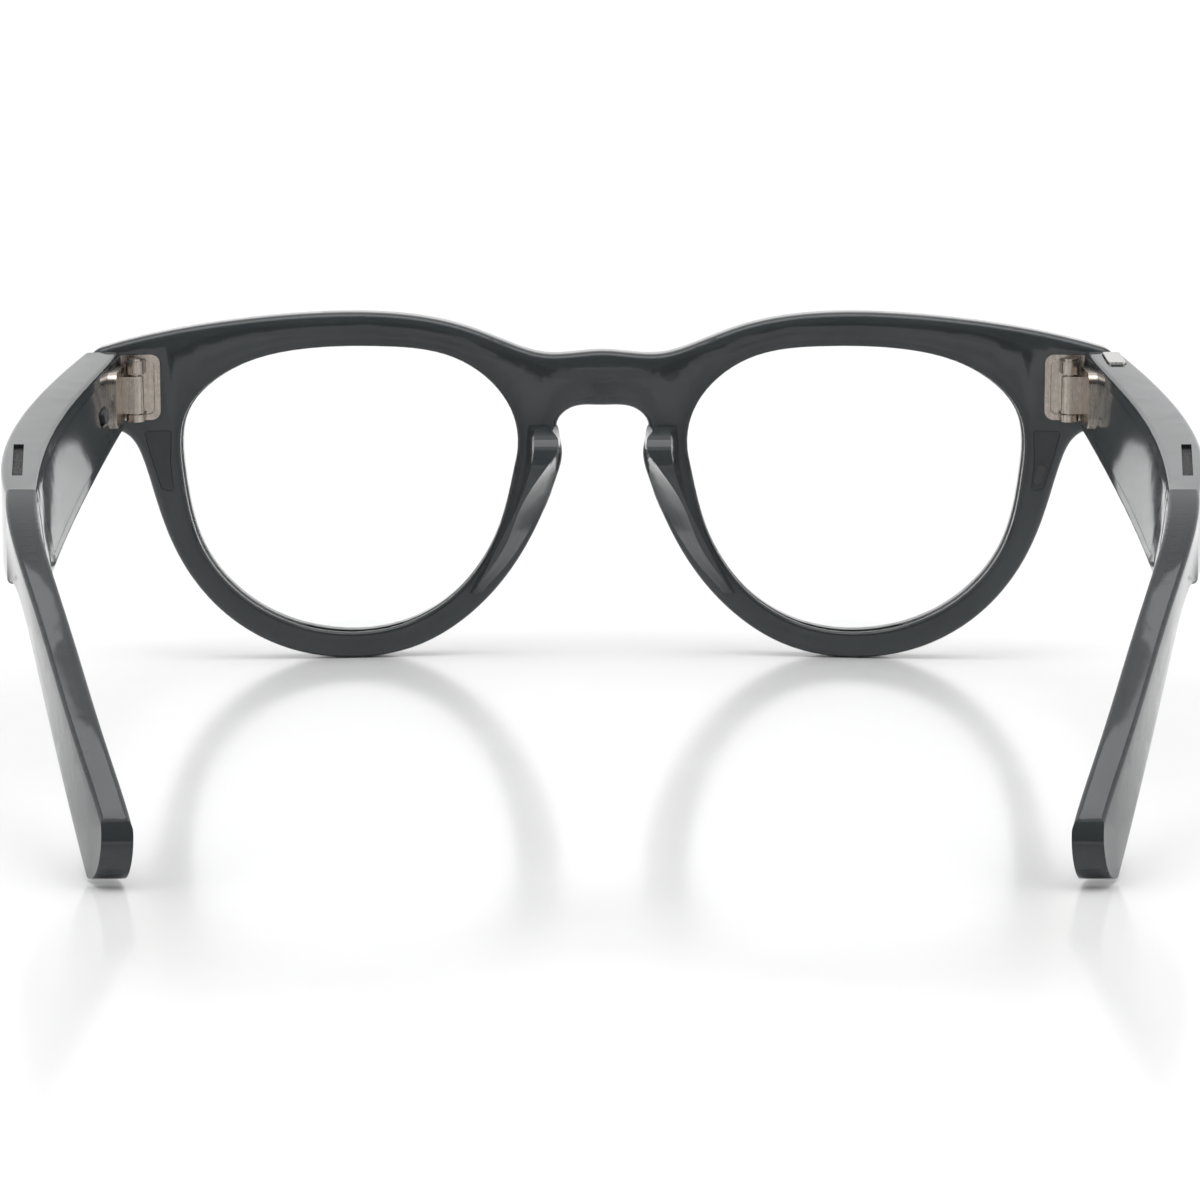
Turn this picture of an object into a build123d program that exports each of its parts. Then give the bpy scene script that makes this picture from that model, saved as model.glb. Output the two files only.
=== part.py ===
"""Smart glasses: front with lenses and camera, two folding temples that hold the electronics.

Millimetres, +Z up. The front faces -Y, the temples run towards +Y, and the wearer's left is +X.
The glasses stand open on a table, on the bottoms of both rims and on both temple tips.
Every left-hand piece that has a twin is built at +X and mirrored for the right.
"""
from build123d import *
import math
import os

# ---- front -------------------------------------------------------------------------------
FACE_RADIUS = 330.0        # wrap of the front about a vertical axis, at its rear surface
FRONT_THICK = 5.4          # front to rear through the rims
LENS_X = 36.6              # centre of each lens
LENS_Z = 24.7
OPENING_HALF = (24.0, 20.8)    # half width and half height of the lens opening
LENS_RADIUS = 180.0        # front surface of the clear lenses
LENS_THICK = 2.0
LENS_SET_IN = 1.2          # lens front surface behind the front of the rim
LENS_EDGE = 1.0            # how far the lens edge runs into its groove
OUTLINE_ROUND = 1.1        # rounding of the rear and front outer edges
OPENING_ROUND = 0.55       # rounding of the edges round each lens

# ---- temples -----------------------------------------------------------------------------
TEMPLE_START = 4.0         # where a temple is laid out from; its end is cut to the front
SEAM_Y = 98.0              # joint between the housing and the tip
TEMPLE_TOP = 45.3          # height of the top edge at TEMPLE_START
TEMPLE_SLOPE = 0.08        # drop of the top edge per mm
TEMPLE_HEIGHT = 11.6
WALL = 1.1                 # temple housing walls
BEND_RADIUS = 20.0
BEND_ANGLE = 33.5          # slope of the tip below horizontal, degrees
SECTION_ROUND = 0.65       # rounding of the long edges of a temple
SEAM_GAP = 0.06            # hairline between a cover and its housing
TIP_SPREAD = 0.3           # how much thicker the bottom of a tip is than its top
TIP_END_REACH = 5.0        # length of the rounded end of a tip
TENON_START = 93.0         # front end of the tongue that joins a tip to its housing
TENON_INSET = 2.4

# ---- hinge -------------------------------------------------------------------------------
PIN_X = 66.6
PIN_Y = 8.0
PIN_DIA = 1.2
PIN_HEAD = (2.0, 0.4)      # diameter and thickness
KNUCKLE_DIA = 2.5
PIN_CLEAR = 0.03           # radial clearance of the temple knuckle on the pin
FOLD_GAP = 0.3             # gap between the front and the end of a temple
BRACKET_X = (63.4, 69.8)
BRACKET_Z = (35.2, 44.6)
BRACKET_DEEP = 0.9
CUP_MARGIN = 0.8           # rim round the sunk middle of the bracket
CUP_DEEP = 0.35
KNUCKLE_TOP = (42.2, 44.0)
KNUCKLE_MID = (36.6, 41.9)
KNUCKLE_LOW = (35.4, 36.4)
LEAF_X = (68.2, 69.5)
LEAF_Y = (7.0, 17.0)
LEAF_Z = (35.3, 43.2)

# ---- electronics -------------------------------------------------------------------------
CAMERA_X = 67.6
CAMERA_Z = 39.9
WINDOW_DIA = 7.4
BUTTON_X = (71.1, 73.5)
BUTTON_Y = (7.8, 15.8)
BUTTON_PROUD = 0.35
BUTTON_TRAVEL = 0.4
BUTTON_CLEAR = 0.15
SWITCH_Y = (22.0, 26.0)
SWITCH_TRAVEL = 2.0
SWITCH_PROUD = 0.4
BAY_Y = (18.0, 91.0)       # hollow of the housing
COVER_Y = (19.5, 90.0)     # inner cover
VENT_Y = (71.0, 90.0)
VENT_X = 75.1              # outer edge of the vent at its front end
VENT_WIDTH = 1.3
VENT_TAPER = 0.125         # inward run of the vent per mm

# Half outline of the front seen square on: (x, z), middle of the brow to the corner.
BROW = [(0, 44.4), (8.5, 44.0), (14, 45.7), (20, 48.0), (28, 49.7), (37.5, 50.2), (50, 49.5),
        (62, 47.9), (71.6, 45.7)]
# From under the endpiece round the bottom of the rim and up the nose to the bridge.
RIM = [(70.4, 33.9), (67.6, 32.4), (66.1, 29.4), (64.35, 23.4), (61.3, 15.2), (54.5, 6.3),
       (46.0, 1.3), (36.4, -0.3), (27.0, 1.3), (18.5, 6.6), (12.4, 13.8), (8.6, 21.0), (6.6, 26.2),
       (5.95, 30.5), (6.6, 34.0), (4.8, 36.0), (0, 36.5)]
# Lens opening, clockwise from the nose side.
OPENING = [(12.6, 28.6), (14.4, 37.9), (21.1, 43.35), (32.0, 45.25), (43.0, 45.0), (53.0, 42.4),
           (59.9, 36.0), (60.4, 27.0), (57.8, 16.3), (50.7, 8.0), (40.2, 3.8), (30.0, 4.3),
           (21.6, 8.9), (15.7, 17.2)]
# Top edge of a temple housing: (y, outer x, inner x at the top, inner x at the bottom).
HOUSING_STATIONS = [(4.0, 73.7, 68.8, 68.6), (24, 75.6, 70.1, 68.5), (48, 76.8, 71.2, 68.3),
                    (72, 76.2, 70.8, 67.9), (98, 72.4, 68.6, 67.1)]
# Tip: (distance along the top edge from the seam, outer x, thickness, height, how far the bottom
# leans outwards).
TIP_STATIONS = [(0, 72.4, 3.8, 11.6, -0.3), (12, 70.2, 3.7, 10.4, 0.0), (24, 66.4, 3.6, 9.9, 0.6),
                (38, 62.1, 3.6, 9.6, 1.4), (50, 58.3, 3.6, 9.4, 2.1), (61.7, 54.7, 3.5, 9.2, 2.5)]
# Nose pads: (z, nose-side x, lens-side x, rear edge from x, rear edge to x, reach behind rim).
PAD_SLICES = [(33.6, 6.6, 11.2, 8.6, 10.0, 1.6), (30.6, 6.1, 11.3, 6.6, 9.9, 6.2),
              (25.4, 6.9, 11.7, 10.1, 11.1, 6.4), (19.5, 9.3, 13.4, 12.9, 13.7, 5.0),
              (14.0, 12.4, 16.7, 15.6, 16.4, 3.2), (9.2, 16.2, 20.0, 18.2, 19.0, 0.9)]


def rear_y(x):
    """Y of the rear surface of the front at x."""
    middle = -LENS_X ** 2 / (2 * FACE_RADIUS)
    return middle + FACE_RADIUS - math.sqrt(FACE_RADIUS ** 2 - x ** 2)


def temple_top(y):
    """Height of a temple's top edge at y, ahead of the bend."""
    return TEMPLE_TOP - TEMPLE_SLOPE * (y - TEMPLE_START)


def block(x, y, z):
    """Box from three (low, high) pairs."""
    size = [b - a for a, b in (x, y, z)]
    middle = [(a + b) / 2 for a, b in (x, y, z)]
    return Pos(*middle) * Box(*size)


def upright(x, y, dia, z):
    """Round rod along Z at (x, y) over the (low, high) pair z."""
    return Pos(x, y, (z[0] + z[1]) / 2) * Cylinder(dia / 2, z[1] - z[0])


def twin(shape):
    """The same piece on the other side of the glasses."""
    return mirror(shape, about=Plane.YZ)


def slab(rear, front):
    """Curved sheet that follows the wrap of the front, between two distances ahead of its rear."""
    centre_y = rear_y(0) + FACE_RADIUS
    outer = Cylinder(FACE_RADIUS + front, 120)
    inner = Cylinder(FACE_RADIUS + rear, 130)
    return Pos(0, centre_y, 25) * (outer - inner)


def prism_y(sketch, y=(-14, 16)):
    """Extrude a sketch of (x, z) along Y."""
    return extrude(Plane((0, y[0], 0), x_dir=(1, 0, 0), z_dir=(0, -1, 0)) * sketch, -(y[1] - y[0]))


def prism_x(sketch, x):
    """Extrude a sketch of (y, z) along X."""
    return extrude(Plane((x[0], 0, 0), x_dir=(0, 1, 0), z_dir=(1, 0, 0)) * sketch, x[1] - x[0])


# ---- front --------------------------------------------------------------------------------
def both_sides(points):
    """Points from the middle outwards, led by their mirror images."""
    mirrored = [(-x, z) for x, z in reversed(points) if x > 0]
    return mirrored + points


def front_face():
    """Outline of the whole front seen square on."""
    edges = [Spline(both_sides(BROW)), Spline(both_sides(list(reversed(RIM))))]
    for side in (1, -1):
        top = (side * 73.6, 43.2)
        low = (side * 73.6, 37.2)
        edges.append(ThreePointArc((side * BROW[-1][0], BROW[-1][1]), (side * 72.9, 44.9), top))
        edges.append(Line(top, low))
        edges.append(ThreePointArc(low, (side * 72.7, 35.1), (side * RIM[0][0], RIM[0][1])))
    return make_face(edges)


def opening_face(grow=0.0):
    """Lens opening as a closed smooth curve, or the same curve grown outwards."""
    wide = 1 + grow / OPENING_HALF[0]
    tall = 1 + grow / OPENING_HALF[1]
    points = [(LENS_X + (x - LENS_X) * wide, LENS_Z + (z - LENS_Z) * tall) for x, z in OPENING]
    return make_face([Spline(points, periodic=True)])


def nose_pad():
    """Left nose pad, a rib that leans outward and thins to a ridge towards the cheek."""
    sections = []
    for z, nose_x, lens_x, rear_from, rear_to, reach in PAD_SLICES:
        base = rear_y(nose_x) - 1.2
        back = rear_y(nose_x) + reach
        corners = [(nose_x, base), (lens_x, base), (rear_to, back), (rear_from, back)]
        sections.append(Plane((0, 0, z)) * make_face(Polyline(*corners, close=True)))
    return loft(sections)


def lens():
    """Left lens: a thin meniscus cut to the opening, with its edge in the groove."""
    lean = math.asin(LENS_X / FACE_RADIUS)
    face_y = rear_y(LENS_X) - FRONT_THICK + LENS_SET_IN
    centre = (LENS_X - LENS_RADIUS * math.sin(lean), face_y + LENS_RADIUS * math.cos(lean), LENS_Z)
    shell = Sphere(LENS_RADIUS) - Sphere(LENS_RADIUS - LENS_THICK)
    return prism_y(opening_face(LENS_EDGE)) & (Pos(*centre) * shell)


def flex_path():
    """Sketch of the circuit strip that runs over both lenses and through the bridge."""
    run = [(62, 43.6), (57, 46.0), (47, 47.6), (37, 47.9), (26, 47.2), (17, 44.3), (9, 41.4), (0, 40.9)]
    line = Spline(run, tangents=[(-1, 0.8), (-1, 0)])
    return trace(line, line_width=1.3) + trace(mirror(line, about=Plane.YZ), line_width=1.3)


def layered(sketch, rear, front):
    """Piece of the given outline between two depths, measured forward from the curved rear."""
    return prism_y(sketch) & slab(rear, front)


def front_flex():
    """Flexible circuit inside the front."""
    return layered(flex_path(), 2.4, 2.7)


def bracket_face(margin=0.0):
    """Rounded outline of the hinge bracket in the rear of the endpiece."""
    width = BRACKET_X[1] - BRACKET_X[0] - 2 * margin
    height = BRACKET_Z[1] - BRACKET_Z[0] - 2 * margin
    plate = RectangleRounded(width, height, 1.3 - margin / 2)
    return Pos(sum(BRACKET_X) / 2, sum(BRACKET_Z) / 2) * plate


def side_cover_face(shrink=0.0):
    """Rounded panel on the rear of the rim, under the hinge."""
    corners = [(61.9, 33.6), (65.8, 33.6), (64.9, 30.0), (63.5, 25.2), (61.7, 24.6), (62.1, 29.0)]
    panel = make_face(Polyline(*corners, close=True))
    panel = fillet(panel.vertices(), 0.5)
    return offset(panel, amount=-shrink) if shrink else panel


def side_cover():
    """Cover over the sensor bay in the rim."""
    return layered(side_cover_face(SEAM_GAP), 0, 0.9)


def window_disc():
    """Round window flush in the front of the endpiece."""
    return layered(Pos(CAMERA_X, CAMERA_Z) * Circle(WINDOW_DIA / 2), FRONT_THICK - 0.8, FRONT_THICK)


def camera():
    """Camera module behind its window: a barrel on a square base."""
    centre = Pos(CAMERA_X, CAMERA_Z)
    barrel = layered(centre * Circle(2.5), 3.1, 4.6)
    return barrel + layered(centre * RectangleRounded(6.2, 6.2, 0.4), 1.1, 3.1)


def capture_light():
    """Small light board behind the right-hand window."""
    centre = Pos(CAMERA_X, CAMERA_Z)
    lamp = layered(centre * Circle(1.6), 3.4, 4.6)
    return lamp + layered(centre * RectangleRounded(6.0, 4.8, 0.3), 2.6, 3.4)


def sensor_shape():
    return Pos(62.9, 27.2) * Rot(0, 0, 76) * SlotOverall(2.7, 1.1)


def sensor_window():
    """Upright oval window of the sensor that feels when the glasses are worn."""
    return layered(sensor_shape(), 0, 0.9)


def sensor_board():
    """Sensor behind the oval window."""
    board = Pos(63.2, 28.0) * Rot(0, 0, 76) * RectangleRounded(4.4, 1.6, 0.2)
    return layered(board, 0.9, 1.9)


def bridge_microphone():
    """Microphone inside the bridge."""
    return layered(Pos(0, 38.9) * RectangleRounded(3.2, 1.6, 0.2), 1.0, 2.0)


def bridge_sound_hole():
    """Sound hole from the underside of the bridge up to its microphone."""
    return upright(0, rear_y(0) - 1.5, 0.6, (36, 38.2))


def charging_contacts():
    """Two contact pads flush in the underside of the bridge."""
    pads = [Pos(x, 37.2) * Rectangle(1.8, 0.9) for x in (-1.7, 1.7)]
    return layered(pads[0] + pads[1], 1.7, 3.7)


def on_surface(edge, ahead):
    """True for an edge that lies on the curved rear (0) or front face of the front."""
    centre_y = rear_y(0) + FACE_RADIUS
    for t in (0, 0.3, 0.6, 1):
        point = edge.position_at(t)
        if abs(math.hypot(point.X, point.Y - centre_y) - FACE_RADIUS - ahead) > 0.02:
            return False
    return True


def face_edges(body):
    return [e for e in body.edges() if on_surface(e, 0) or on_surface(e, FRONT_THICK)]


def front_body():
    """Front before any pocket is cut, with all its edges rounded and the nose pads on."""
    body = prism_y(front_face()) & slab(0, FRONT_THICK)
    body = fillet(face_edges(body), OUTLINE_ROUND)
    hole = prism_y(opening_face())
    body = body - hole - twin(hole)
    rims = [e for e in face_edges(body) if e.is_closed and e.length > 100]
    body = fillet(rims, OPENING_ROUND)
    pad = nose_pad()
    return body + pad + twin(pad)


def front_frame(inserts):
    """Front moulding with a seat cut for each piece that is set into it."""
    body = front_body()
    for piece in inserts:
        body -= piece
    body -= bridge_sound_hole()
    return body


# ---- temples ------------------------------------------------------------------------------
def temple_section(plane, outer, inner_top, inner_low, height):
    """Cross-section of a temple: a rounded four-sided shape, wider towards the bottom.

    The plane's origin is at the top edge on X = 0, its x axis is +X and its y axis points up.
    """
    corners = [(outer, 0), (outer, -height), (inner_low, -height), (inner_top, 0)]
    face = make_face(Polyline(*corners, close=True))
    return plane * fillet(face.vertices(), SECTION_ROUND)


def housing_plane(y):
    """Upright plane across a temple with its origin on the top edge at X = 0."""
    return Plane((0, y, temple_top(y)), x_dir=(1, 0, 0), z_dir=(0, -1, 0))


def housing_solid():
    """Solid form of a left temple housing, from the hinge to the seam."""
    sections = []
    for y, outer, inner_top, inner_low in HOUSING_STATIONS:
        sections.append(temple_section(housing_plane(y), outer, inner_top, inner_low, TEMPLE_HEIGHT))
    return loft(sections)


def tip_point(run):
    """(y, z, slope in degrees) of the tip's top edge, at a distance from the seam along it.

    The edge turns down on an arc, then runs straight at BEND_ANGLE.
    """
    start = math.degrees(math.atan(TEMPLE_SLOPE))
    arc = BEND_RADIUS * math.radians(BEND_ANGLE - start)
    slope = start + (BEND_ANGLE - start) * min(run / arc, 1)
    turned = (math.sin(math.radians(slope)) - math.sin(math.radians(start))) * BEND_RADIUS
    dropped = (math.cos(math.radians(start)) - math.cos(math.radians(slope))) * BEND_RADIUS
    beyond = max(run - arc, 0)
    y = SEAM_Y + turned + beyond * math.cos(math.radians(slope))
    z = temple_top(SEAM_Y) - dropped - beyond * math.sin(math.radians(slope))
    return y, z, slope


def tip_plane(run):
    """Plane square to the tip, with its origin on the top edge at X = 0."""
    y, z, slope = tip_point(run)
    angle = math.radians(slope)
    return Plane((0, y, z), x_dir=(1, 0, 0), z_dir=(0, -math.cos(angle), math.sin(angle)))


def tip_solid():
    """Left temple tip from the seam to its end, before the end is rounded."""
    sections = []
    for run, outer, thick, height, lean in TIP_STATIONS[1:]:
        low_outer = outer + lean
        low_inner = low_outer - thick - TIP_SPREAD
        corners = [(outer, 0), (low_outer, -height), (low_inner, -height), (outer - thick, 0)]
        face = make_face(Polyline(*corners, close=True))
        sections.append(tip_plane(run) * fillet(face.vertices(), SECTION_ROUND))
    _, outer, inner_top, inner_low = HOUSING_STATIONS[-1]
    start = temple_section(housing_plane(SEAM_Y + SEAM_GAP), outer, inner_top, inner_low, TEMPLE_HEIGHT)
    return loft([start] + sections)


def tip_end():
    """Side outline (y, z) that gives the tip its rounded end."""
    length = TIP_STATIONS[-1][0]
    height = TIP_STATIONS[-1][3] - 0.05
    y, z, slope = tip_point(length)
    shape = Pos(-TIP_END_REACH, 0) * Rectangle(60, 40, align=(Align.MAX, Align.CENTER))
    shape += Pos(-TIP_END_REACH, -height / 2) * Ellipse(TIP_END_REACH, height / 2 + 0.1)
    return Pos(y, z) * Rot(0, 0, -slope) * shape


def tip_core():
    """Flat metal strip inside the tip, which lets it be adjusted."""
    sections = []
    for run, outer, thick, height, lean in TIP_STATIONS[:-1]:
        plane = tip_plane(run) if run else housing_plane(SEAM_Y + 1)
        strip = Pos(outer + lean / 2 - thick / 2 - 0.2, -height / 2) * Rectangle(1.1, 3.0)
        sections.append(plane * strip)
    return loft(sections)


def bay_profile(y, inset, rounding=0.5):
    """Side outline (y, z) inside a housing, a given distance from its top and bottom edges."""
    top = [(v, temple_top(v) - inset) for v in y]
    low = [(v, temple_top(v) - TEMPLE_HEIGHT + inset) for v in reversed(y)]
    face = make_face(Polyline(*top, *low, close=True))
    return prism_x(fillet(face.vertices(), rounding), (60, 85))


def shifted(shape, x=0.0, z=0.0):
    return Pos(x, 0, z) * shape


def inside(form, from_outer, from_inner, profile):
    """Piece that follows a housing's curved walls at a distance from each."""
    return shifted(form, -from_outer) & shifted(form, from_inner) & profile


def outer_layer(form, depth, thick, profile):
    """Sheet that follows the outer wall, from a depth inwards."""
    return (shifted(form, -depth) - shifted(form, -depth - thick)) & profile


def top_layer(form, depth, thick, plan):
    """Sheet that follows the top face under it, within a plan outline (x, y)."""
    return (shifted(form, z=-depth) - shifted(form, z=-depth - thick)) & extrude(plan, 60)


def low_layer(form, depth, thick, plan):
    """Sheet that follows the bottom face above it, within a plan outline (x, y)."""
    return (shifted(form, z=depth) - shifted(form, z=depth + thick)) & extrude(plan, 60)


def vent_plan(inboard=0.0, y=VENT_Y):
    """Long narrow vent near the outer edge of the housing, seen from above."""
    near = VENT_X - inboard - VENT_TAPER * (y[0] - VENT_Y[0])
    far = VENT_X - inboard - VENT_TAPER * (y[1] - VENT_Y[0])
    corners = [(near, y[0]), (far, y[1]), (far - VENT_WIDTH, y[1]), (near - VENT_WIDTH, y[0])]
    return make_face(Polyline(*corners, close=True))


def button_plan(grow=0.0):
    width = BUTTON_X[1] - BUTTON_X[0] + 2 * grow
    length = BUTTON_Y[1] - BUTTON_Y[0] + 2 * grow
    return Pos(sum(BUTTON_X) / 2, sum(BUTTON_Y) / 2) * RectangleRounded(width, length, 0.6)


def switch_profile(length, height):
    """Stadium outline of the power switch on the inner face, laid along the temple."""
    y = sum(SWITCH_Y) / 2
    shape = SlotOverall(length, height)
    place = Pos(y, temple_top(y) - TEMPLE_HEIGHT / 2) * Rot(0, 0, -math.degrees(math.atan(TEMPLE_SLOPE)))
    return prism_x(place * shape, (60, 75))


def inner_cover(form, opening=False):
    """Long cover in the inner wall, or the opening it fills."""
    inset = 1.7 if opening else 1.7 + SEAM_GAP
    y = COVER_Y if opening else (COVER_Y[0] + SEAM_GAP, COVER_Y[1] - SEAM_GAP)
    return (form - shifted(form, WALL)) & bay_profile(y, inset, 1.6)


def tenon():
    """Tongue of the tip that is glued into the end of the housing."""
    end = SEAM_Y + 2 * SEAM_GAP
    plan = Polyline((70.0, TENON_START), (72.1, TENON_START), (71.1, end), (69.7, end), close=True)
    return extrude(make_face(plan), 60) & bay_profile((TENON_START, end), TENON_INSET)


def microphone():
    """Temple microphone near the hinge, facing down."""
    low = temple_top(12) - TEMPLE_HEIGHT
    return block((70.6, 73.2), (10.6, 13.8), (low + 1.2, low + 2.2))


def microphone_hole():
    low = temple_top(12) - TEMPLE_HEIGHT
    return upright(71.9, 12.2, 0.7, (low - 1, low + 1.2))


def hinge_leaf():
    """Temple half of the hinge: the middle knuckle on an arm, and a plate let into the housing."""
    plate = block(LEAF_X, LEAF_Y, LEAF_Z)
    plate = fillet(plate.edges().filter_by(Axis.X).group_by(Axis.Y)[-1], 1.6)
    arm = block((PIN_X, LEAF_X[0] + 0.2), (PIN_Y - 1.0, PIN_Y + KNUCKLE_DIA / 2), KNUCKLE_MID)
    knuckle = upright(PIN_X, PIN_Y, KNUCKLE_DIA, KNUCKLE_MID)
    bore = upright(PIN_X, PIN_Y, PIN_DIA + 2 * PIN_CLEAR, (30, 50))
    return plate + arm + knuckle - bore


def hinge_bracket():
    """Front half of the hinge: a sunk plate with the two outer knuckles."""
    plate = layered(bracket_face(), 0, BRACKET_DEEP) - layered(bracket_face(CUP_MARGIN), -1, CUP_DEEP)
    for z in (KNUCKLE_TOP, KNUCKLE_LOW):
        web = block((PIN_X - KNUCKLE_DIA / 2, PIN_X + KNUCKLE_DIA / 2), (rear_y(PIN_X) - 0.6, PIN_Y), z)
        plate += web + upright(PIN_X, PIN_Y, KNUCKLE_DIA, z)
    return plate - upright(PIN_X, PIN_Y, PIN_DIA, (30, 50))


def hinge_pin():
    """Pin with a slotted head above the top knuckle."""
    top = KNUCKLE_TOP[1]
    shank = upright(PIN_X, PIN_Y, PIN_DIA, (KNUCKLE_LOW[0], top))
    head = upright(PIN_X, PIN_Y, PIN_HEAD[0], (top, top + PIN_HEAD[1]))
    slot = block((PIN_X - 2, PIN_X + 2), (PIN_Y - 0.15, PIN_Y + 0.15), (top + PIN_HEAD[1] / 2, top + 1))
    return shank + head - slot


def front_pieces():
    """Every piece of the front, by name."""
    pieces = {"lens_left": lens(), "lens_right": twin(lens())}
    pieces["camera_window"] = window_disc()
    pieces["camera_module"] = camera()
    pieces["light_window"] = twin(window_disc())
    pieces["capture_light"] = twin(capture_light())
    pieces["rim_cover_left"] = side_cover()
    pieces["rim_cover_right"] = twin(side_cover() - layered(sensor_shape(), -1, 1))
    pieces["wear_sensor_window"] = twin(sensor_window())
    pieces["wear_sensor"] = twin(sensor_board())
    pieces["front_flex"] = front_flex()
    pieces["bridge_microphone"] = bridge_microphone()
    pieces["charging_contacts"] = charging_contacts()
    bracket = hinge_bracket()
    pieces["hinge_bracket_left"] = bracket
    pieces["hinge_bracket_right"] = twin(bracket)
    pieces["hinge_pin_left"] = hinge_pin()
    pieces["hinge_pin_right"] = twin(hinge_pin())
    cuts = [p for name, p in pieces.items() if not name.startswith(("rim", "hinge"))]
    for face, deep in ((side_cover_face(), 0.9), (bracket_face(), BRACKET_DEEP)):
        seat = layered(face, -0.5, deep)
        cuts += [seat, twin(seat)]
    pieces["front_frame"] = front_frame(cuts)
    return pieces


def temple_pieces(form):
    """The pieces that both temples share, as their left-hand forms."""
    pieces = {"hinge_leaf": hinge_leaf()}
    end = prism_x(tip_end(), (40, 90))
    pieces["tip_core"] = tip_core()
    pieces["temple_tip"] = (tip_solid() & end) + tenon() - pieces["tip_core"]
    pieces["speaker"] = inside(form, 1.7, 1.4, bay_profile((67, 90), 2.0, 1.5))
    pieces["speaker_vent"] = top_layer(form, 0.5, 0.4, vent_plan())
    pieces["lower_vent"] = low_layer(form, 0.4, 0.4, vent_plan(1.6, (74, 86)))
    pieces["temple_microphone"] = microphone()
    return pieces


def housing(form, shared, extra):
    """Housing shell: hollow, open under the inner cover, seated for the hinge leaf and tip."""
    bay = inside(form, WALL + 0.1, WALL, bay_profile(BAY_Y, 1.2, 1.0))
    shell = form - slab(-FOLD_GAP, 20) - bay - inner_cover(form, opening=True)
    shell -= top_layer(form, -1, 2.4, vent_plan())
    shell -= low_layer(form, -1, 2.4, vent_plan(1.6, (74, 86)))
    for piece in [shared["hinge_leaf"], tenon(), microphone(), microphone_hole()] + extra:
        shell -= piece
    return shell


def left_temple(form, shared):
    """Pieces that only the left temple has: battery and power switch."""
    slot = switch_profile(SWITCH_Y[1] - SWITCH_Y[0] + SWITCH_TRAVEL + 0.4, 2.2)
    slider = shifted(form, -SWITCH_PROUD) - shifted(form, WALL)
    pieces = {"battery": inside(form, 1.6, 1.4, bay_profile((31, 64), 1.6, 1.2))}
    start = Pos(0, -SWITCH_TRAVEL / 2 * math.cos(math.atan(TEMPLE_SLOPE)), SWITCH_TRAVEL / 2 * TEMPLE_SLOPE)
    pieces["power_switch"] = start * switch_profile(SWITCH_Y[1] - SWITCH_Y[0], 1.8) & slider
    pieces["switch_body"] = inside(form, 1.6, WALL + 0.15, bay_profile((20, 29), 2.6))
    pieces["temple_flex"] = outer_layer(form, WALL + 0.15, 0.2, bay_profile((19, 88), 3.8))
    pieces["inner_cover_left"] = inner_cover(form) - slot
    pieces["temple_housing_left"] = housing(form, shared, [])
    return pieces


def right_temple(form, shared):
    """Pieces that only the right temple has: main board, touch strip and capture button."""
    pocket = top_layer(form, -1, 3.6, button_plan(BUTTON_CLEAR))
    pieces = {"main_board": outer_layer(form, 1.8, 0.8, bay_profile((20, 65), 1.6))}
    pieces["shield_can"] = outer_layer(form, 2.6, 1.2, bay_profile((30, 48), 2.6))
    pieces["touch_strip"] = outer_layer(form, WALL + 0.15, 0.2, bay_profile((22, 66), 3.0))
    pieces["capture_button"] = top_layer(form, -BUTTON_PROUD, 1.4 + BUTTON_PROUD, button_plan())
    pieces["button_dome"] = top_layer(form, 1.95, 0.65, button_plan(-0.2))
    pieces["inner_cover_right"] = inner_cover(form)
    pieces["temple_housing_right"] = housing(form, shared, [pocket])
    return {name: twin(piece) for name, piece in pieces.items()}


def all_pieces():
    form = housing_solid()
    shared = temple_pieces(form)
    pieces = front_pieces()
    for name, piece in shared.items():
        pieces[name + "_left"] = piece
        pieces[name + "_right"] = twin(piece)
    pieces.update(left_temple(form, shared))
    pieces.update(right_temple(form, shared))
    return pieces


def main():
    os.makedirs("parts", exist_ok=True)
    pieces = all_pieces()
    boxes = [piece.bounding_box() for piece in pieces.values()]
    middle = (min(b.min.Y for b in boxes) + max(b.max.Y for b in boxes)) / 2
    low = min(b.min.Z for b in boxes)
    place = Pos(0, -middle, -low)
    for name, piece in pieces.items():
        solids = (place * piece).solids()
        export_step(Compound(solids) if len(solids) > 1 else solids[0], f"parts/{name}.step")
    print(f"{len(pieces)} pieces, moved by {-middle:.4f} in Y and {-low:.4f} in Z")


if __name__ == "__main__":
    main()
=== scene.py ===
"""Finishes for a pair of smart glasses, laid out as a Blender add-on and run as a script.

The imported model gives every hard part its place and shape. This file gives the parts that show a
smooth skin, gives every part its finish, and sets the stage. Lengths are in metres.
"""
import math

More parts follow.
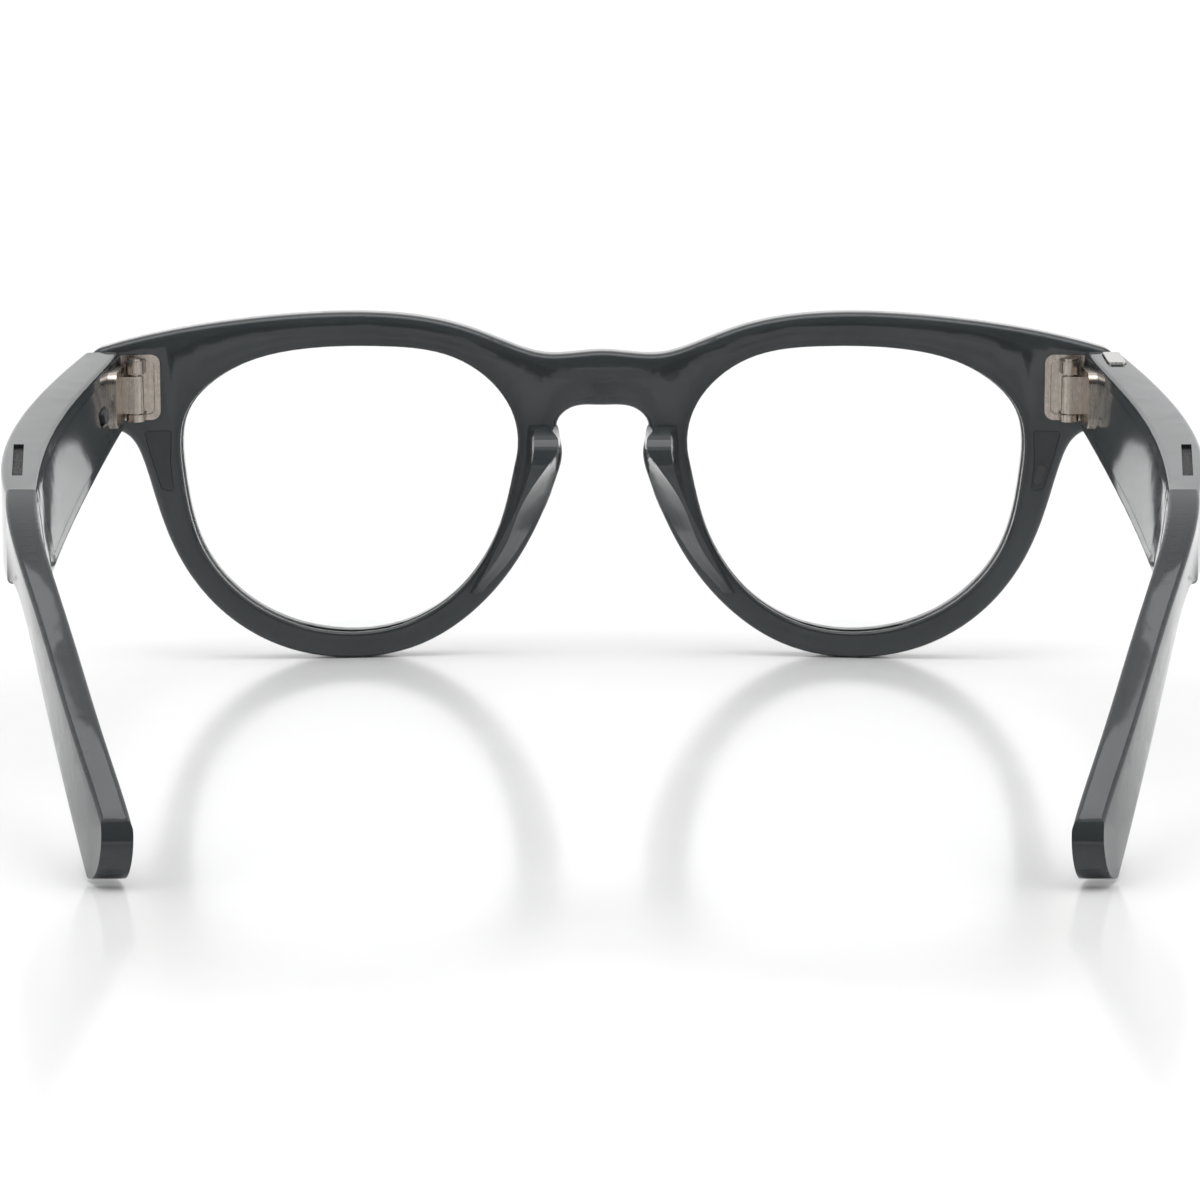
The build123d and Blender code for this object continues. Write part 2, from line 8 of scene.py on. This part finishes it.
import bmesh
import bpy
from bpy.props import FloatProperty, FloatVectorProperty, PointerProperty
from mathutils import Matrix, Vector


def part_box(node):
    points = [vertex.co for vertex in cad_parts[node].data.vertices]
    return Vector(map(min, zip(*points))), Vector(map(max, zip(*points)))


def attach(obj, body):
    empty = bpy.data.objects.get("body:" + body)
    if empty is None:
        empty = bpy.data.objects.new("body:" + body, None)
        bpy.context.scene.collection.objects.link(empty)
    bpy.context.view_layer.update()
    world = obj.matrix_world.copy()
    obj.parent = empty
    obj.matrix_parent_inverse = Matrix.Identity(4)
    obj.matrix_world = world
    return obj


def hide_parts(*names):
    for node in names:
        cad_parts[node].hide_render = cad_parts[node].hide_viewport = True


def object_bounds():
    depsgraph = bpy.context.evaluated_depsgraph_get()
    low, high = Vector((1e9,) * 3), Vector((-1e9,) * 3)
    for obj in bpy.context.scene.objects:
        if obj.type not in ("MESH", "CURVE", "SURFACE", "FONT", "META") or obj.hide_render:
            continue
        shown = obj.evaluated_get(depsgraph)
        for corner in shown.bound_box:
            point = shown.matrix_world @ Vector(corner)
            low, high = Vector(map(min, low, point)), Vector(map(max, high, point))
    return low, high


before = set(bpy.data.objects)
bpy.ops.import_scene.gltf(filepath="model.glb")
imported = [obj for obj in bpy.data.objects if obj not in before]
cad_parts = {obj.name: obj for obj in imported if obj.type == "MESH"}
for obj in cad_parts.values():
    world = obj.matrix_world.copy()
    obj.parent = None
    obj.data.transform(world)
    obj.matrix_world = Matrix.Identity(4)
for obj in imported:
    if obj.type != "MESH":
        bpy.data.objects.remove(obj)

bl_info = {
    "name": "Smart glasses finishes",
    "version": (1, 0, 0),
    "blender": (4, 5, 0),
    "location": "3D View > Sidebar > Glasses",
    "description": "Materials, small details and studio for a pair of smart glasses",
    "category": "Object",
}

CAD_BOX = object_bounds()
MM = 0.001
WELD = 2e-7            # corners closer than this are one corner
CREASE = math.radians(28)
FLOOR_HALF = 40.0      # the floor runs on past the picture
RIM_FRONT_TO_REAR = 7.43 * MM  # foremost point of the front to the rear of the rims' middle
TOP_LIGHT_PLACE = (0, 0.1, 0.9)
TOP_LIGHT_SIZE = (0.8, 0.5)
CARD_HALF = (0.9, 0.5)         # half width and half height of the dark card
CARD_PLACE = (0.8, 0.55)       # its distance behind the middle, and the height of its centre

SMOKE_NODES = ["front_frame", "rim_cover_left", "rim_cover_right", "temple_housing_left",
               "temple_housing_right", "inner_cover_left", "inner_cover_right",
               "temple_tip_left", "temple_tip_right"]
LENS_NODES = ["lens_left", "lens_right"]
HINGE_NODES = ["hinge_bracket_left", "hinge_bracket_right", "hinge_leaf_left", "hinge_leaf_right",
               "hinge_pin_left", "hinge_pin_right"]
WINDOW_NODES = ["camera_window", "light_window", "wear_sensor_window"]
VENT_NODES = ["speaker_vent_left", "speaker_vent_right", "lower_vent_left", "lower_vent_right"]
CORE_NODES = ["tip_core_left", "tip_core_right"]
CIRCUIT_NODES = ["front_flex", "temple_flex", "touch_strip", "main_board", "button_dome",
                 "capture_light", "wear_sensor"]
MODULE_NODES = ["camera_module", "switch_body", "speaker_left", "speaker_right",
                "temple_microphone_left", "temple_microphone_right", "bridge_microphone"]


# ---- sizes and colours that a user would change ------------------------------------------------
class GlassesFinish(bpy.types.PropertyGroup):
    """Colours and gloss of the glasses"""
    smoke_colour: FloatVectorProperty(
        name="Smoke colour", description="Colour of the translucent plastic", subtype="COLOR",
        default=(0.062, 0.069, 0.073), min=0, max=1)
    smoke_gloss: FloatProperty(
        name="Smoke roughness", description="Roughness of the polished plastic",
        default=0.06, min=0, max=1, subtype="FACTOR")
    smoke_depth: FloatProperty(
        name="Smoke clarity", description="How much light the plastic lets through",
        default=0.35, min=0, max=1, subtype="FACTOR")
    nickel_colour: FloatVectorProperty(
        name="Hinge colour", description="Colour of the satin hinge metal", subtype="COLOR",
        default=(0.50, 0.445, 0.395), min=0, max=1)


class GlassesStage(bpy.types.PropertyGroup):
    """Studio round the glasses"""
    camera_height: FloatProperty(
        name="Camera height", description="Height of the camera over the table",
        default=0.1058, unit="LENGTH")
    camera_distance: FloatProperty(
        name="Camera distance", description="Distance of the camera behind the rims",
        default=0.600, unit="LENGTH")
    surround: FloatProperty(
        name="Surround", description="Brightness of the white surround", default=1.06, min=0)
    top_light: FloatProperty(
        name="Top light", description="Power of the soft light overhead",
        default=3.2, min=0, unit="POWER")
    camera_pitch: FloatProperty(
        name="Camera pitch", description="Downward tilt of the camera",
        default=math.radians(9.2), subtype="ANGLE")
    camera_shift: FloatProperty(
        name="Sideways shift", description="Sideways shift of the picture, as a share of its width",
        default=-0.0021)
    camera_lens: FloatProperty(
        name="Focal length", description="Focal length on a 36 mm wide sensor, in millimetres",
        default=125.3, min=1)
    floor_tone: FloatProperty(
        name="Floor tone", description="Brightness of the pale floor", default=0.9, min=0, max=1)


# ---- material building blocks ------------------------------------------------------------------
class Finish:
    """A new node material with short calls for the nodes that these finishes share."""

    def __init__(self, name):
        self.material = bpy.data.materials.new(name)
        self.material.use_nodes = True
        self.tree = self.material.node_tree
        self.shader = self.tree.nodes["Principled BSDF"]
        self.place = self.tree.nodes.new("ShaderNodeTexCoord").outputs["Object"]

    def set(self, **values):
        """Set sockets of the shader, with underscores for spaces."""
        for key, value in values.items():
            self.shader.inputs[key.replace("_", " ")].default_value = value
        return self

    def link(self, source, target):
        self.tree.links.new(source, target)

    def stretched(self, scale):
        """Object coordinates stretched by a scale on each axis."""
        node = self.tree.nodes.new("ShaderNodeMapping")
        node.inputs["Scale"].default_value = scale
        self.link(self.place, node.inputs["Vector"])
        return node.outputs["Vector"]

    def noise(self, scale, detail=4.0, roughness=0.55, place=None):
        node = self.tree.nodes.new("ShaderNodeTexNoise")
        node.inputs["Scale"].default_value = scale
        node.inputs["Detail"].default_value = detail
        node.inputs["Roughness"].default_value = roughness
        self.link(place or self.place, node.inputs["Vector"])
        return node.outputs["Fac"]

    def cells(self, scale, place=None, feature="F1"):
        node = self.tree.nodes.new("ShaderNodeTexVoronoi")
        node.feature = feature
        node.inputs["Scale"].default_value = scale
        self.link(place or self.place, node.inputs["Vector"])
        return node.outputs["Distance"]

    def spread(self, source, low, high, start=0.3, end=0.7):
        """Map a texture value to a range."""
        node = self.tree.nodes.new("ShaderNodeMapRange")
        node.inputs["From Min"].default_value = start
        node.inputs["From Max"].default_value = end
        node.inputs["To Min"].default_value = low
        node.inputs["To Max"].default_value = high
        self.link(source, node.inputs["Value"])
        return node.outputs["Result"]

    def tones(self, source, first, second, start=0.3, end=0.7):
        """Blend two colours by a texture value."""
        node = self.tree.nodes.new("ShaderNodeValToRGB")
        ramp = node.color_ramp
        ramp.elements[0].position = start
        ramp.elements[1].position = end
        ramp.elements[0].color = (*first, 1)
        ramp.elements[1].color = (*second, 1)
        self.link(source, node.inputs["Fac"])
        return node.outputs["Color"]

    def relief(self, source, depth, strength=1.0):
        """Surface relief of the given depth in metres."""
        node = self.tree.nodes.new("ShaderNodeBump")
        node.inputs["Strength"].default_value = strength
        node.inputs["Distance"].default_value = depth
        self.link(source, node.inputs["Height"])
        self.link(node.outputs["Normal"], self.shader.inputs["Normal"])

    def drive(self, socket, source):
        self.link(source, self.shader.inputs[socket])


def dress(names, material):
    """Give CAD nodes a material."""
    for name in names:
        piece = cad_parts[name]
        piece.data.materials.clear()
        piece.data.materials.append(material)


def body_of(node):
    """Body that carries a part of the front or of a temple."""
    on_front = node.startswith(("front", "lens", "rim_cover", "hinge_bracket", "hinge_pin", "camera",
                                "light", "wear_sensor"))
    if on_front:
        return "front"
    return "left_temple" if node.endswith("left") else "right_temple"


def smooth_skin(node, crease):
    """Welded copy of a hard part, smooth wherever its faces meet at less than the crease angle."""
    bm = bmesh.new()
    bm.from_mesh(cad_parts[node].data)
    bmesh.ops.remove_doubles(bm, verts=bm.verts, dist=WELD)
    bmesh.ops.dissolve_degenerate(bm, dist=WELD, edges=bm.edges)
    bmesh.ops.recalc_face_normals(bm, faces=bm.faces)
    for face in bm.faces:
        face.smooth = True
    for edge in bm.edges:
        edge.smooth = edge.is_manifold and edge.calc_face_angle() < crease
    mesh = bpy.data.meshes.new(node + "_skin")
    bm.to_mesh(mesh)
    bm.free()
    skin = bpy.data.objects.new(node + "_skin", mesh)
    bpy.context.scene.collection.objects.link(skin)
    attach(skin, body_of(node))
    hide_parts(node)
    return skin


def polish(nodes, material, crease=CREASE):
    """Give hard parts a smooth skin and a material."""
    for node in nodes:
        smooth_skin(node, crease).data.materials.append(material)


def tinted(colour, factor):
    return tuple(min(1.0, c * factor) for c in colour)


# ---- finishes ----------------------------------------------------------------------------------
def smoke_plastic(look):
    """Polished translucent grey plastic: faint clouding inside, fine polishing marks outside."""
    f = Finish("smoke_plastic")
    f.set(IOR=1.5, Transmission_Weight=look.smoke_depth, Specular_IOR_Level=0.3)
    cloud = f.noise(60, 3)
    f.drive("Base Color", f.tones(cloud, tinted(look.smoke_colour, 0.88), tinted(look.smoke_colour, 1.14)))
    marks = f.noise(900, 6, 0.7)
    f.drive("Roughness", f.spread(marks, look.smoke_gloss * 0.7, look.smoke_gloss * 1.6))
    f.relief(f.noise(220, 2), 0.00002, 0.25)
    return f.material


def clear_lens():
    """Clear lens with a trace of dust."""
    f = Finish("clear_lens")
    f.set(Base_Color=(0.985, 0.992, 0.992, 1), IOR=1.5, Transmission_Weight=1.0)
    f.drive("Roughness", f.spread(f.noise(500, 5, 0.7), 0.0, 0.02, 0.55, 0.9))
    f.relief(f.noise(25, 1), 0.00001, 0.05)
    return f.material


def satin_nickel(look):
    """Warm satin metal of the hinges, brushed along the knuckles and brighter on worn spots."""
    f = Finish("satin_nickel")
    f.set(Metallic=1.0)
    wear = f.noise(1400, 5, 0.6)
    f.drive("Base Color", f.tones(wear, tinted(look.nickel_colour, 0.85), tinted(look.nickel_colour, 1.15)))
    brushed = f.noise(1800, 4, 0.6, f.stretched((1, 1, 0.08)))
    f.drive("Roughness", f.spread(brushed, 0.2, 0.36))
    f.relief(brushed, 0.00002, 0.3)
    return f.material


def plain_metal(name, colour, rough):
    """Small stamped or drawn metal parts."""
    f = Finish(name)
    f.set(Metallic=1.0)
    grain = f.noise(2200, 5, 0.6)
    f.drive("Base Color", f.tones(grain, tinted(colour, 0.88), tinted(colour, 1.1)))
    f.drive("Roughness", f.spread(grain, rough * 0.8, rough * 1.25))
    f.relief(grain, 0.00002, 0.25)
    return f.material


def black_window():
    """Deep black polished window."""
    f = Finish("black_window")
    f.set(IOR=1.5, Coat_Weight=1.0, Coat_Roughness=0.02)
    smear = f.noise(300, 4)
    f.drive("Base Color", f.tones(smear, (0.004, 0.004, 0.005), (0.009, 0.009, 0.011)))
    f.drive("Roughness", f.spread(smear, 0.04, 0.1))
    f.relief(smear, 0.00001, 0.1)
    return f.material


def vent_weave():
    """Fine dark woven mesh behind the sound slots."""
    f = Finish("vent_weave")
    weave = f.cells(3200)
    f.set(Metallic=0.6)
    f.drive("Base Color", f.tones(weave, (0.004, 0.004, 0.005), (0.03, 0.03, 0.033), 0.2, 0.6))
    f.drive("Roughness", f.spread(weave, 0.45, 0.7))
    f.relief(weave, 0.00008, 0.9)
    return f.material


def circuit_board():
    """Circuit laminate with copper traces under the varnish."""
    f = Finish("circuit_board")
    traces = f.cells(900, feature="DISTANCE_TO_EDGE")
    f.set(IOR=1.5)
    f.drive("Base Color", f.tones(traces, (0.12, 0.07, 0.02), (0.01, 0.05, 0.03), 0.04, 0.07))
    f.drive("Roughness", f.spread(f.noise(1500), 0.3, 0.5))
    f.relief(traces, 0.00005, 0.4)
    return f.material


def moulded_black(name, colour):
    """Finely textured black plastic of modules and the switch."""
    f = Finish(name)
    grain = f.noise(3500, 3)
    f.drive("Base Color", f.tones(grain, tinted(colour, 0.8), tinted(colour, 1.3)))
    f.drive("Roughness", f.spread(grain, 0.4, 0.6))
    f.relief(grain, 0.00003, 0.5)
    return f.material


def battery_foil():
    """Crinkled silver pouch."""
    f = Finish("battery_foil")
    crinkle = f.cells(350, feature="SMOOTH_F1")
    f.set(Metallic=0.9)
    f.drive("Base Color", f.tones(crinkle, (0.4, 0.4, 0.42), (0.6, 0.6, 0.62)))
    f.drive("Roughness", f.spread(crinkle, 0.25, 0.45))
    f.relief(crinkle, 0.0001, 0.5)
    return f.material


def studio_floor(tone):
    """Pale, slightly glossy table top."""
    f = Finish("studio_floor")
    speck = f.noise(40, 4)
    f.drive("Base Color", f.tones(speck, (tone,) * 3, (min(1, tone * 1.01),) * 3))
    f.drive("Roughness", f.spread(speck, 0.13, 0.16))
    return f.material


# ---- operators ---------------------------------------------------------------------------------
class GLASSES_OT_plastic(bpy.types.Operator):
    """Finish the translucent plastic parts"""
    bl_idname = "glasses.plastic"
    bl_label = "Smoke plastic"

    def execute(self, context):
        polish(SMOKE_NODES, smoke_plastic(context.scene.glasses_finish))
        return {"FINISHED"}


class GLASSES_OT_lenses(bpy.types.Operator):
    """Finish both lenses"""
    bl_idname = "glasses.lenses"
    bl_label = "Lenses"

    def execute(self, context):
        polish(LENS_NODES, clear_lens())
        return {"FINISHED"}


class GLASSES_OT_hinges(bpy.types.Operator):
    """Finish the hinge brackets, leaves and pins"""
    bl_idname = "glasses.hinges"
    bl_label = "Hinges"

    def execute(self, context):
        polish(HINGE_NODES, satin_nickel(context.scene.glasses_finish))
        return {"FINISHED"}


class GLASSES_OT_electronics(bpy.types.Operator):
    """Finish windows, vents, controls and the parts inside"""
    bl_idname = "glasses.electronics"
    bl_label = "Electronics"

    def execute(self, context):
        polish(WINDOW_NODES, black_window())
        dress(VENT_NODES, vent_weave())
        dress(CIRCUIT_NODES, circuit_board())
        dress(MODULE_NODES, moulded_black("module_black", (0.02, 0.02, 0.022)))
        dress(["power_switch"], moulded_black("switch_black", (0.03, 0.03, 0.033)))
        dress(["capture_button"], plain_metal("button_metal", (0.6, 0.58, 0.56), 0.28))
        dress(["charging_contacts"], plain_metal("contact_gold", (0.8, 0.58, 0.25), 0.2))
        dress(["shield_can"], plain_metal("shield_metal", (0.6, 0.6, 0.61), 0.3))
        dress(CORE_NODES, plain_metal("core_metal", (0.5, 0.5, 0.51), 0.35))
        dress(["battery"], battery_foil())
        return {"FINISHED"}


class GLASSES_OT_stage(bpy.types.Operator):
    """Set up the floor, lights and camera"""
    bl_idname = "glasses.stage"
    bl_label = "Stage"

    def execute(self, context):
        stage = context.scene.glasses_stage
        add_floor(stage)
        add_lights(context.scene, stage)
        add_camera(context.scene, stage)
        return {"FINISHED"}


def add_floor(stage):
    """Flat floor under the lowest point of the glasses."""
    mesh = bpy.data.meshes.new("floor")
    bm = bmesh.new()
    bmesh.ops.create_grid(bm, x_segments=4, y_segments=4, size=FLOOR_HALF)
    bmesh.ops.translate(bm, verts=bm.verts, vec=(0, 0, CAD_BOX[0][2]))
    bm.to_mesh(mesh)
    bm.free()
    floor = bpy.data.objects.new("floor", mesh)
    bpy.context.scene.collection.objects.link(floor)
    mesh.materials.append(studio_floor(stage.floor_tone))


def add_area_light(name, place, target, size, power):
    """Rectangular light turned towards a target."""
    data = bpy.data.lights.new(name, "AREA")
    data.shape = "RECTANGLE"
    data.size, data.size_y = size
    data.energy = power
    light = bpy.data.objects.new(name, data)
    light.location = place
    aim = Vector(target) - Vector(place)
    light.rotation_euler = aim.to_track_quat("-Z", "Y").to_euler()
    bpy.context.scene.collection.objects.link(light)


def add_lights(scene, stage):
    """Even white surround, one large soft light overhead and a dark card behind the camera."""
    world = bpy.data.worlds.new("studio")
    world.use_nodes = True
    world.node_tree.nodes["Background"].inputs["Color"].default_value = (1, 1, 1, 1)
    world.node_tree.nodes["Background"].inputs["Strength"].default_value = stage.surround
    scene.world = world
    scene.view_settings.view_transform = "Standard"
    add_area_light("top_light", TOP_LIGHT_PLACE, (0, 0, 0), TOP_LIGHT_SIZE, stage.top_light)
    add_dark_card()


def add_dark_card():
    """Dark screen behind the camera, which keeps the rear faces of the glasses deep in tone."""
    mesh = bpy.data.meshes.new("dark_card")
    bm = bmesh.new()
    bmesh.ops.create_grid(bm, x_segments=6, y_segments=4, size=1.0)
    for vert in bm.verts:
        vert.co = (vert.co.x * CARD_HALF[0], CARD_PLACE[0], CARD_PLACE[1] + vert.co.y * CARD_HALF[1])
    bm.to_mesh(mesh)
    bm.free()
    card = bpy.data.objects.new("dark_card", mesh)
    bpy.context.scene.collection.objects.link(card)
    mesh.materials.append(moulded_black("card_felt", (0.02, 0.02, 0.02)))


def add_camera(scene, stage):
    """Camera behind the glasses, looking forward and slightly down."""
    rim_y = rims_rear()
    data = bpy.data.cameras.new("camera")
    data.sensor_width = 36
    data.lens = stage.camera_lens
    data.shift_x = stage.camera_shift
    data.clip_end = 100
    camera = bpy.data.objects.new("camera", data)
    camera.location = (0, rim_y + stage.camera_distance, stage.camera_height)
    camera.rotation_euler = (math.radians(90) - stage.camera_pitch, 0, math.pi)
    scene.collection.objects.link(camera)
    scene.camera = camera


def rims_rear():
    """Y of the rear of the rims, measured from the foremost point of the front."""
    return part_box("front_frame")[0][1] + RIM_FRONT_TO_REAR


# ---- panel and registration --------------------------------------------------------------------
PIECE_OPERATORS = (GLASSES_OT_plastic, GLASSES_OT_lenses, GLASSES_OT_hinges, GLASSES_OT_electronics,
                   GLASSES_OT_stage)


class GLASSES_PT_panel(bpy.types.Panel):
    """List of the steps and the values that they use"""
    bl_idname = "GLASSES_PT_panel"
    bl_label = "Smart glasses"
    bl_space_type = "VIEW_3D"
    bl_region_type = "UI"
    bl_category = "Glasses"

    def draw(self, context):
        for group in (context.scene.glasses_finish, context.scene.glasses_stage):
            for key in group.__annotations__:
                self.layout.prop(group, key)
        for operator in PIECE_OPERATORS:
            self.layout.operator(operator.bl_idname)


CLASSES = (GlassesFinish, GlassesStage, *PIECE_OPERATORS, GLASSES_PT_panel)


def register():
    for cls in CLASSES:
        bpy.utils.register_class(cls)
    bpy.types.Scene.glasses_finish = PointerProperty(type=GlassesFinish)
    bpy.types.Scene.glasses_stage = PointerProperty(type=GlassesStage)


def unregister():
    del bpy.types.Scene.glasses_stage
    del bpy.types.Scene.glasses_finish
    for cls in reversed(CLASSES):
        bpy.utils.unregister_class(cls)


def main():
    register()
    bpy.ops.glasses.plastic()
    bpy.ops.glasses.lenses()
    bpy.ops.glasses.hinges()
    bpy.ops.glasses.electronics()
    bpy.ops.glasses.stage()


if __name__ == "__main__":
    main()
